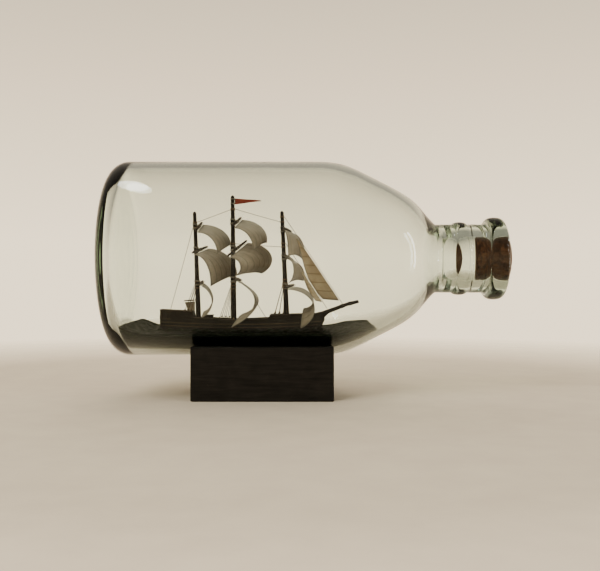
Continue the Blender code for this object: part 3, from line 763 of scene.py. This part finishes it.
def make_hull_trim():
    """Wales, rail caps, stern and quarter windows; then the stem knee and channels."""
    bm = bmesh.new()
    end = 28.6
    side_strip(bm, STERN_X + 0.2, end, lambda x: deck_height(x) - 0.5, 0.16, 0.55)
    side_strip(bm, STERN_X + 0.2, end - 1, lambda x: deck_height(x) - 2.1, 0.12, 0.40)
    edges = (STERN_X, *RAIL_STEPS, end + 1)
    for start, stop in zip(edges[::2], edges[1::2]):
        side_strip(bm, start, stop, lambda x: rail_height(x) + 0.02, 0.62, 0.32, out=-0.5,
                   steps=30)
    rail = rail_height(STERN_X)
    wide = half_breadth(STERN_X)
    box(bm, (STERN_X - 0.25, -wide, rail - 0.16), (STERN_X + 0.6, wide, rail + 0.2), 0.08)
    z = WINDOW_Z
    for k in range(4):
        y = (k - 1.5) * 1.75
        for dy, dz, wy, wz in ((0, 0.75, 0.62, 0.10), (0, -0.75, 0.62, 0.10),
                               (0.55, 0, 0.10, 0.80), (-0.55, 0, 0.10, 0.80), (0, 0, 0.06, 0.7)):
            box(bm, (STERN_X - 0.28, y + dy - wy, z + dz - wz),
                (STERN_X + 0.1, y + dy + wy, z + dz + wz))
    for side in (-1, 1):
        for k in range(4):
            x = -50.2 + 1.25 * k
            foot, top = hull_point(x, 0.60), hull_point(x, 0.93)
            for t0, t1 in ((0.60, 0.64), (0.90, 0.94)):
                a, b = hull_point(x, t0), hull_point(x, t1)
                box(bm, (x - 0.5, side * -a.y - 0.12, a.z), (x + 0.5, side * -a.y + 0.12, b.z))
            y = side * -0.5 * (top.y + foot.y)
            box(bm, (x - 0.62, y - 0.14, foot.z), (x - 0.45, y + 0.14, top.z))
    make_piece("hull_trim", bm, "trim", smooth=30)

    bm = bmesh.new()
    outline = [(28.2, 31.2), (29.1, 34.5), (30.2, 38.2), (32.4, 40.2), (33.2, 40.9), (31.2, 40.4),
               (29.6, 40.6), (28.0, 38.0), (26.6, 34.0), (25.8, 31.2)]
    loft(bm, [[(x, y, z) for x, z in outline] for y in (-0.42, 0.42)])
    for side in (-1, 1):
        for feet in SHROUD_FEET.values():
            x0, x1 = feet[0] - 0.9, feet[2] + 0.9
            y = side * (half_breadth((x0 + x1) / 2) + 0.2)
            z = min(deck_height(x0) + 0.9, 38)
            box(bm, (x0, y - 0.5, z), (x1, y + 0.5, z + 0.28), 0.06)
    make_piece("stem_and_channels", bm, "hull", smooth=30)


def deck_sheet(bm, x_from, x_to, height):
    """A closed deck slab that follows the hull's plan, with a little camber."""
    camber, slab = 0.15, 0.5
    sections = []
    for x in spread(x_from, x_to, 40):
        half = max(half_breadth(x) - PLANK + 0.1, 0.1)
        z = height(x)
        top = [(x, half * share, z + camber * (1 - share ** 2))
               for share in spread(-1, 1, 12)]
        sections.append(top + [(x, half, z - slab), (x, -half, z - slab)])
    loft(bm, sections)


def make_decks():
    bm = bmesh.new()
    deck_sheet(bm, -35.0, 29.0, lambda x: deck_height(x) + 0.12)
    make_piece("main_deck", bm, "deck", smooth=30)
    for name, x0, x1, front, top in (
            ("poop_deck", STERN_X + 0.5, -35.6, -35.6, 40.7),
            ("forecastle_deck", 2.9, 20.0, 2.9, 39.1)):
        bm = bmesh.new()
        deck_sheet(bm, x0, x1, lambda x: top - 0.1)
        half = half_breadth(front) - PLANK
        floor = deck_height(front)
        box(bm, (front - 0.25, -half, floor - 0.1), (front + 0.25, half, top), look=1)
        for k in range(5):
            y = (k - 2) * half * 0.4
            box(bm, (front - 0.36, y - 0.14, floor), (front + 0.36, y + 0.14, top + 0.15), look=1)
        box(bm, (front - 0.42, -half, top - 0.12), (front + 0.42, half, top + 0.18), 0.05, look=1)
        make_piece(f"{name}_planks", bm, "deck hull", [name], smooth=30)


def make_deck_fittings():
    """Deckhouse with a door and windows, and the grated hatch."""
    (x0, y0, _), (x1, y1, top) = cad_box("deckhouse")
    bm = bmesh.new()
    floor = deck_height(x0) - 0.1
    box(bm, (x0 + 0.3, y0 + 0.3, floor), (x1 - 0.3, y1 - 0.3, top - 0.3), 0.06)
    box(bm, (x0, y0, top - 0.35), (x1, y1, top), 0.1, look=1)
    for side in (y0 + 0.25, y1 - 0.25):
        for k in range(3):
            x = x0 + 1.2 + 1.5 * k
            box(bm, (x - 0.45, side - 0.1, floor + 1.5), (x + 0.45, side + 0.1, floor + 2.6),
                0.04, look=1)
    box(bm, (x1 - 0.35, -0.6, floor), (x1 - 0.18, 0.6, floor + 2.5), 0.04, look=1)
    make_piece("deckhouse_detail", bm, "hull trim", ["deckhouse"], smooth=30)

    (x0, y0, _), (x1, y1, top) = cad_box("cargo_hatch")
    bm = bmesh.new()
    floor = deck_height(x0) - 0.1
    for a, b in (((x0, y0), (x1, y0 + 0.4)), ((x0, y1 - 0.4), (x1, y1)),
                 ((x0, y0), (x0 + 0.4, y1)), ((x1 - 0.4, y0), (x1, y1))):
        box(bm, (*a, floor), (*b, top), 0.05)
    for x in spread(x0, x1, 8)[1:-1]:
        box(bm, (x - 0.12, y0 + 0.3, top - 0.5), (x + 0.12, y1 - 0.3, top - 0.15), look=1)
    for y in spread(y0, y1, 7)[1:-1]:
        box(bm, (x0 + 0.3, y - 0.12, top - 0.45), (x1 - 0.3, y + 0.12, top - 0.1), look=1)
    make_piece("hatch_grating", bm, "hull trim", ["cargo_hatch"], smooth=30)


# ---- spars ----
MAST_RADII = {"mizzen": (1.25, 0.85), "main": (1.4, 0.9), "fore": (1.3, 0.88)}
MAST_LINES = {mast: spar_ends(f"{mast}_mast", 2) for mast in MAST_RADII}


def mast_point(mast, z):
    foot, top = MAST_LINES[mast]
    return foot.lerp(top, (z - foot.z) / (top.z - foot.z))


def mast_radius(mast, z):
    lower, upper = MAST_RADII[mast]
    foot, top = MAST_LINES[mast]
    return lower + (upper - lower) * (z - foot.z) / (top.z - foot.z)


def whittled(amount, stretch, scale, seed=0.0, facets=0.0):
    """The uneven radius of a stick cut by hand."""
    def wobble(x, a):
        spot = (x * MM * stretch, sin(a) * 0.003, seed + cos(a) * 0.003)
        return 1 + facets * cos(6 * a + 0.06 * x) + amount * rough(spot, scale)

    return wobble


def coil(bm, centre, axis, radius, turns, pitch, thread):
    """Turns of thread wound round a spar."""
    matrix, _ = along(centre, Vector(centre) + Vector(axis))
    steps = 14
    points = []
    for k in range(int(turns * steps) + 1):
        a = 2 * pi * k / steps
        x = pitch * (k / steps - turns / 2)
        points.append(matrix @ Vector((x, radius * sin(a), radius * cos(a))))
    tube(bm, points, thread, 6)


def wind(bm, mast, z, clearance, *turns):
    """Thread wound round a mast."""
    coil(bm, mast_point(mast, z), (0, 0, 1), mast_radius(mast, z) + clearance, *turns)


def make_stick(node, profile, segments, matrix, wobble=lambda x, angle: 1.0):
    """A round stick from its (x, r) profile, with flat ends."""
    bm = bmesh.new()
    profile = [(profile[0][0], 0), *profile, (profile[-1][0], 0)]
    revolve(bm, profile, segments, matrix, wobble=wobble)
    make_piece(f"{node}_stick", bm, "spar", [node], smooth=50)


def make_masts():
    """Whittled sticks, a little thicker where each yard is lashed, with a rounded top."""
    for number, mast in enumerate(MAST_RADII):
        foot, top = MAST_LINES[mast]
        foot = foot - (top - foot).normalized() * 0.25
        matrix, length = along(foot, top)
        profile = []
        for x in spread(0, length, 90):
            z = foot.z + (top.z - foot.z) * x / length
            r = mast_radius(mast, z)
            for (name, _), (height, *_) in RIG.items():
                if name == mast:
                    r += 0.16 * exp(-((z - height) / 1.6) ** 2)
            if x > length - 0.9:
                r *= sqrt(max(0.0, 1 - ((x - length + 0.9) / 0.9) ** 2)) * 0.9 + 0.1
            profile.append((x, r))
        make_stick(f"{mast}_mast", profile, 20, matrix,
                   whittled(0.05, 2.2, 300, seed=number * 7.0, facets=0.02))


def yard_ends(mast, tier):
    """Starboard end, sling point and port end of a yard."""
    _, starboard, port, *_ = RIG[mast, tier]
    start, end = spar_ends(f"{mast}_{tier}_yard", 1)
    return start, start.lerp(end, starboard / (starboard + port)), end


def make_yards():
    steps = 36
    for mast, tier in RIG:
        start, _, end = yard_ends(mast, tier)
        matrix, length = along(start, end)
        profile = []
        for k in range(steps + 1):
            s = 2 * k / steps - 1
            r = YARD_RADIUS * (1.05 - 0.42 * abs(s) ** 1.6)
            if abs(s) > 0.9:
                r *= 0.86
            if k in (0, steps):
                r *= 0.7
            profile.append((length * k / steps, r))
        seed = sum(map(ord, mast + tier)) * 0.37
        make_stick(f"{mast}_{tier}_yard", profile, 14, matrix, whittled(0.07, 2, 350, seed))


def make_lashings():
    """Pale thread that holds each yard to its mast, and its loose tails."""
    random.seed(11)
    bm = bmesh.new()
    turns = (3.5, 0.21, LASHING_RADIUS)
    for mast, tier in RIG:
        start, sling, end = yard_ends(mast, tier)
        direction = (end - start).normalized()
        centre = mast_point(mast, sling.z)
        radius = mast_radius(mast, sling.z) + 0.30
        for offset in (-1.0, 1.0):
            spot = mast_point(mast, sling.z + offset)
            coil(bm, spot, (0.03 * offset, 0.05, 1), radius, *turns)
        for offset in (-1.35, 1.35):
            coil(bm, sling + direction * offset, direction, YARD_RADIUS * 1.02 + 0.12, *turns)
        for sign in (-1, 1):
            for lift in (-1, 1):
                a = centre + Vector((-0.2 * radius, sign * radius, lift * 0.9))
                b = sling + direction * (sign * 1.3) + Vector((0.3, 0, -lift * 0.5))
                middle = (a + b) / 2 + Vector((0.45, sign * 0.35, 0))
                tube(bm, smooth_line([tuple(a), tuple(middle), tuple(b)], 5), LASHING_RADIUS, 6)
        tail = sling + direction * 1.4
        drift = Vector((random.uniform(0.2, 1.0), random.uniform(-0.6, 0.6), -1.0)).normalized()
        points = (tail, tail + drift * 0.8 + Vector((0.4, 0, 0)), tail + drift * 1.9)
        tube(bm, smooth_line([tuple(point) for point in points], 5), LASHING_RADIUS, 5)
    make_piece("yard_lashings", bm, "lashing")


def make_bowsprit():
    """Bowsprit run back over the bow, with two bands."""
    heel, tip = spar_ends("bowsprit", 0)
    matrix, length = along(heel, tip)
    profile = [(-1.2, 0.9)]
    for share in spread(0, 1, 40)[1:]:
        band = 0.16 if 0.60 < share < 0.70 or 0.80 < share < 0.86 else 0.0
        profile.append((length * share, 1.08 - 0.30 * share + band))
    make_stick("bowsprit", profile, 18, matrix, whittled(0.05, 2, 350))


# ---- sails ----
def leech(start, edge, even, v):
    """Point at v (0 head, 1 foot) of a sail's edge that rolls forward and down."""
    reach, drop, turn = edge
    angle = radians(turn) * v
    fall = (1 - cos(angle)) / (1 - cos(radians(turn)))
    fall += even * (v - fall)
    return start + Vector((reach * sin(angle), 0, -drop * fall))


def seam_at(share, count, width):
    """1 on the seams that part a sheet into `count` cloths, fading out beside them."""
    if not 0.5 / count < share < 1 - 0.5 / count:
        return 0.0
    return ease(1 - abs((share * count + 0.5) % 1.0 - 0.5) / width)


def path_length(points):
    return sum((b - a).length for a, b in zip(points, points[1:]))


def cloth_sheet(name, point, columns, rows, look, replaced, panels, thickness=0.24,
                seams_across=0, creases=0.12, rope=True):
    """A sewn sheet of cloth from point(u, v): seams, hem, creases and bolt rope."""
    seed = (sum(ord(c) * (k + 1) for k, c in enumerate(name)) % 97) * 0.31
    grid = []
    seam_values = []
    for v in spread(0, 1, rows):
        line = []
        for u in spread(0, 1, columns):
            du = point(min(u + 0.01, 1), v) - point(max(u - 0.01, 0), v)
            dv = point(u, min(v + 0.01, 1)) - point(u, max(v - 0.01, 0))
            normal = du.cross(dv)
            normal = normal.normalized() if normal.length > 1e-6 else Vector((1, 0, 0))
            seam = seam_at(u, panels, 0.10)
            if seams_across:
                seam = max(seam, seam_at(v, seams_across, 0.08))
            hem = ease(1 - min(u, 1 - u, v, 1 - v) / 0.045)
            slack = sin(pi * min(u, 1 - u) * 2) ** 0.5 if 0 < u < 1 else 0.0
            fold = rough((u * 2.2 + seed, v * 1.1 + 0.6 * u, 0.4), 3.2)
            fine = rough((u * 6.0, v * 4.0, seed), 3.0)
            lift = 0.045 * seam + 0.05 * hem + creases * slack * fold + 0.03 * fine
            line.append(point(u, v) + normal * lift)
            seam_values.append(max(seam, 0.8 * hem))
        grid.append(line)
    bm = bmesh.new()
    layer = bm.loops.layers.uv.new("UVMap")
    verts = [[bm.verts.new(p) for p in line] for line in grid]
    for j in range(rows):
        for i in range(columns):
            corners = ((j, i), (j, i + 1), (j + 1, i + 1), (j + 1, i))
            face = bm.faces.new([verts[a][b] for a, b in corners])
            for loop, (a, b) in zip(face.loops, corners):
                loop[layer].uv = (b / columns, a / rows)
    obj = make_piece(name, bm, look, replaced)
    values = obj.data.attributes.new("seam", "FLOAT", "POINT")
    values.data.foreach_set("value", seam_values)
    solid = obj.modifiers.new("thickness", "SOLIDIFY")
    solid.thickness = thickness * MM
    solid.offset = 0.0
    hem_rope = None
    if rope:
        edge = grid[0][:-1] + [line[-1] for line in grid[:-1]]
        edge += grid[-1][:0:-1] + [line[0] for line in grid[:0:-1]]
        rope_mesh = bmesh.new()
        tube(rope_mesh, edge, 0.16, 6, closed=True)
        hem_rope = make_piece(f"{name}_bolt_rope", rope_mesh, "lashing")
    return obj, hem_rope, grid


def surface_area(grid):
    total = 0.0
    for a, b in zip(grid, grid[1:]):
        for i in range(len(a) - 1):
            total += 0.5 * (a[i + 1] - a[i]).cross(b[i] - a[i]).length
            total += 0.5 * (b[i + 1] - a[i + 1]).cross(b[i + 1] - b[i]).length
    return total


def declare_sheet(obj, rope, grid, rests_on):
    """Work out what the sheet was cut to, without passing it on; its turned-in hems make the
    least width 10.1 mm.
    """
    width = max(*map(path_length, grid), 10.1) * MM
    length = max(map(path_length, zip(*grid))) * MM
    area = min(surface_area(grid) * MM ** 2, width * length)
    if area < 0.3 * width * length or length < 10 * MM:
        return


def make_square_sails():
    """Nine square sails, sewn from cloths, tied to the yards with small loops."""
    loops = bmesh.new()
    for (mast, tier), (_, _, _, starboard, port, belly, roach, even) in RIG.items():
        near, _, far = yard_ends(mast, tier)
        span = far - near
        shift = Vector((0.6, 0, -0.8)) * 1.3
        head_near = near + span * 0.04 + shift
        head_far = far - span * 0.04 + shift

        def point(u, v):
            a = leech(head_near, starboard, even, v)
            b = leech(head_far, port, even, v)
            swell = Vector((belly * sin(pi * v * 0.7), 0, roach * v * v))
            return a.lerp(b, u) + swell * 4 * u * (1 - u)

        made = cloth_sheet(f"{mast}_{tier}_sailcloth", point, 66, 40, "sail",
                           [f"{mast}_{tier}_sail"], panels=6)
        declare_sheet(*made, [f"{mast}_{tier}_yard_stick"])
        for k in range(7):
            on_yard = near + span * (0.08 + 0.14 * k)
            matrix, _ = along(on_yard, on_yard + span.normalized())
            ring = [matrix @ Vector((0, y, z)) + shift * 0.13
                    for y, z in arc((0, 0), 0.80, 0, 360, 14)[:-1]]
            tube(loops, ring, 0.07, 5, closed=True)
    make_piece("robands", loops, "thread")


def make_jibs():
    below = Vector((-0.45, 0, -0.3))
    for name, (*corners, leech_round) in JIBS.items():
        head, tack, clew = map(Vector, corners)

        def point(u, v):
            luff = (head + below).lerp(tack + below, v)
            aft = (head + below + Vector((-0.5, 0, -0.2))).lerp(clew, v)
            aft.x -= leech_round * sin(pi * v ** 1.5)
            bow = 0.9 * sin(pi * u) * sin(pi * min(v, 0.95))
            return luff.lerp(aft, u) + Vector((0, copysign(bow, clew.y), 0))

        made = cloth_sheet(f"{name}_cloth", point, 24, 70, "jib", [name],
                           panels=1, seams_across=7, creases=0.08)
        declare_sheet(*made, [f"{name}_stay_thread"])


def make_spanker():
    throat, peak, clew, tack = map(Vector, SPANKER)

    def point(u, v):
        bow = 0.5 * sin(pi * u) * sin(pi * v)
        return throat.lerp(peak, u).lerp(tack.lerp(clew, u), v) + Vector((0, bow, 0))

    cloth_sheet("spanker_cloth", point, 26, 22, "sail", ["spanker"], panels=3,
                creases=0.06)
    matrix, length = along(*spar_ends("spanker_gaff", 0))
    profile = [(length * k / 12, 0.34 - 0.1 * abs(k - 7) / 7) for k in range(13)]
    make_stick("spanker_gaff", profile, 12, matrix)


def make_pennant():
    low, high = cad_box("pennant")
    hoist = high[2] - low[2]

    def point(u, v):
        half = hoist / 2 * (1 - 0.93 * u)
        middle = high[2] - hoist / 2 + 0.3 * u
        return Vector((low[0] + (high[0] - low[0]) * u, 0.5 * sin(2.2 * pi * u),
                       middle + half * (1 - 2 * v)))

    cloth_sheet("pennant_cloth", point, 60, 14, "pennant", ["pennant"], panels=1,
                creases=0.10, rope=False, thickness=0.2)
    bm = bmesh.new()
    for share in (0.12, 0.88):
        wind(bm, "main", high[2] - hoist * share, 0.12, 3, 0.22, 0.1)
    make_piece("pennant_ties", bm, "lashing")


# ---- threads ----
def far_ends(node):
    """The two ends of a straight thread node."""
    points = node_points(node)
    centre = sum(points, Vector()) / len(points)
    first = max(points, key=lambda p: (p - centre).length)
    last = max(points, key=lambda p: (p - first).length)
    return [middle_mm([p for p in points if (p - end).length < 0.5 * MM])
            for end in (first, last)]


def twisted(bm, line, pitch=1.1, step=0.3):
    """Two strands laid round each other along a line."""
    lengths = [path_length(line[:k + 1]) for k in range(len(line))]
    total = lengths[-1]
    for strand in (0.0, pi):
        path = []
        for s in spread(0, total, max(int(total / step), 4)):
            j = max(i for i, value in enumerate(lengths[:-1]) if value <= s + 1e-9)
            centre = line[j].lerp(line[j + 1], (s - lengths[j]) / (lengths[j + 1] - lengths[j]))
            forward = (line[j + 1] - line[j]).normalized()
            side = forward.cross(Vector((0.3, 0.9, 0.2))).normalized()
            up = forward.cross(side)
            a = 2 * pi * s / pitch + strand
            path.append(centre + (side * cos(a) + up * sin(a)) * THREAD_RADIUS * 0.48)
        tube(bm, path, THREAD_RADIUS * 0.56, 5)


def make_stays():
    """Standing threads, each ending in a few turns round its spar."""
    for node in ("backstay", "mizzen_stay", "main_top_stay", "main_middle_stay",
                 "outer_jib_stay", "inner_jib_stay", "main_sheet"):
        start, end = far_ends(node)
        past = (end - start).normalized() * 0.6
        start, end = start - past, end + past
        sag = -0.004 * (end - start).length
        bm = bmesh.new()
        twisted(bm, [start.lerp(end, t) + Vector((0, 0, sag * 4 * t * (1 - t)))
                     for t in spread(0, 1, 8)])
        for spot in (start, end):
            for mast in MAST_RADII:
                if abs(mast_point(mast, spot.z).x - spot.x) < 2.6 and spot.z > 45:
                    wind(bm, mast, spot.z, 0.12, 3, 0.24, 0.11)
        make_piece(f"{node}_thread", bm, "thread", [node])


def make_shrouds():
    """Shrouds: each thread from a bead at one rail, round the mast, to the other."""
    half, radius = 0.42, 0.46
    bead = [(-half * cos(pi * k / 8), radius * sin(pi * k / 8) ** 0.7) for k in range(1, 8)]
    bead = [(-half, 0), *bead, (half, 0)]
    for mast, feet in SHROUD_FEET.items():
        for number, x in enumerate(feet):
            z = SHROUD_TOPS[mast] - SHROUD_STEP * number
            clear = mast_radius(mast, z) + 0.13
            bm = bmesh.new()
            for side in (-1, 1):
                top = mast_point(mast, z) + Vector((-0.35 * clear, side * clear * 0.94, 0))
                foot = Vector((x, side * (half_breadth(x) - 0.15), rail_height(x) + 0.25))
                twisted(bm, [foot, foot.lerp(top, 0.5), top])
                matrix, _ = along(foot + (top - foot).normalized() * 0.55, top)
                revolve(bm, bead, 12, matrix, look=1)
            wind(bm, mast, z, 0.13, 2, 0.26, 0.13)
            node = f"{mast}_shroud_{number + 1}"
            make_piece(f"{node}_thread", bm, "thread trim", [node], smooth=60)


def dress_cad_nodes():
    """The hinge pins keep their CAD shape and get tarnished brass."""
    for mast in MAST_RADII:
        pin = NODES[f"{mast}_hinge_pin"]
        pin.data.materials.clear()
        pin.data.materials.append(MATERIALS["brass"])


# ---- camera, floor and light, in metres ----
def make_stage():
    scene = bpy.context.scene
    camera = bpy.data.cameras.new("camera")
    camera.lens = 50.0
    camera.sensor_width = 36.0
    camera.clip_start = 0.01
    eye = add("camera", camera)
    eye.location = (0.0176, -0.4167, 0.05405)
    eye.rotation_euler = (radians(90), 0, 0)
    scene.camera = eye

    bm = bmesh.new()
    bmesh.ops.create_circle(bm, cap_ends=True, segments=96, radius=0.7)
    floor = add_mesh("floor", bm, [floor_material()])
    make_world(scene)

    # name, shape, place, size, watts, colour; glass and gloss don't show the square ones
    for name, shape, place, size, power, colour in (
            ("key", "SQUARE", (-0.40, -0.50, 0.62), (0.45, 0.45), 4.4, (1.0, 0.96, 0.90)),
            ("fill", "SQUARE", (0.60, -0.45, 0.30), (0.40, 0.40), 1.2, (0.95, 0.97, 1.0)),
            ("behind", "SQUARE", (0.05, 0.60, 0.50), (0.50, 0.50), 3.0, (1.0, 0.92, 0.80)),
            ("window", "ELLIPSE", (-0.225, -0.02, 0.85), (0.24, 0.05), 0.32, (0.92, 0.96, 1.0)),
            ("strip", "RECTANGLE", (0.70, -0.16, 0.14), (0.035, 0.55), 1.0, (0.95, 0.97, 1.0))):
        light = bpy.data.lights.new(name, "AREA")
        light.shape = shape
        light.size, light.size_y = size
        light.energy = power
        light.color = colour
        lamp = add(name, light)
        lamp.location = place
        lamp.visible_glossy = lamp.visible_transmission = shape != "SQUARE"
        aim = Vector((0.02, 0, 0.06)) - Vector(place)
        lamp.rotation_euler = aim.to_track_quat("-Z", "Y").to_euler()


def make_world(scene):
    """A warm pale surround, brightest low down behind the bottle, dim overhead."""
    world = bpy.data.worlds.new("studio")
    scene.world = world
    world.use_nodes = True
    nodes = Nodes(world.node_tree)
    way = nodes.node("SeparateXYZ", i0=nodes.node("TexCoord").outputs["Generated"])
    colour = nodes.ramp(way.outputs[2], [(0.05, (1.45, 1.23, 0.90)), (0.24, (1.08, 0.90, 0.66)),
                                         (0.52, (0.46, 0.41, 0.335))])
    dimmer = nodes.level(way.outputs[1], -0.6, 0.8, 0.62, 1.0)
    lit = nodes.node("VectorMath", {"operation": "SCALE"}, i0=colour, Scale=dimmer)
    nodes.give(nodes.tree.nodes["Background"], {"Color": lit.outputs[0]})
    scene.view_settings.look = "AgX - Medium High Contrast"


for make in (make_stage, make_bottle, make_cork, make_stand, make_sea, make_hull, make_hull_trim,
             make_decks, make_deck_fittings, make_masts, make_yards, make_lashings,
             make_bowsprit, make_stays, make_shrouds, make_square_sails, make_jibs,
             make_spanker, make_pennant, dress_cad_nodes):
    make()

bpy.context.view_layer.update()
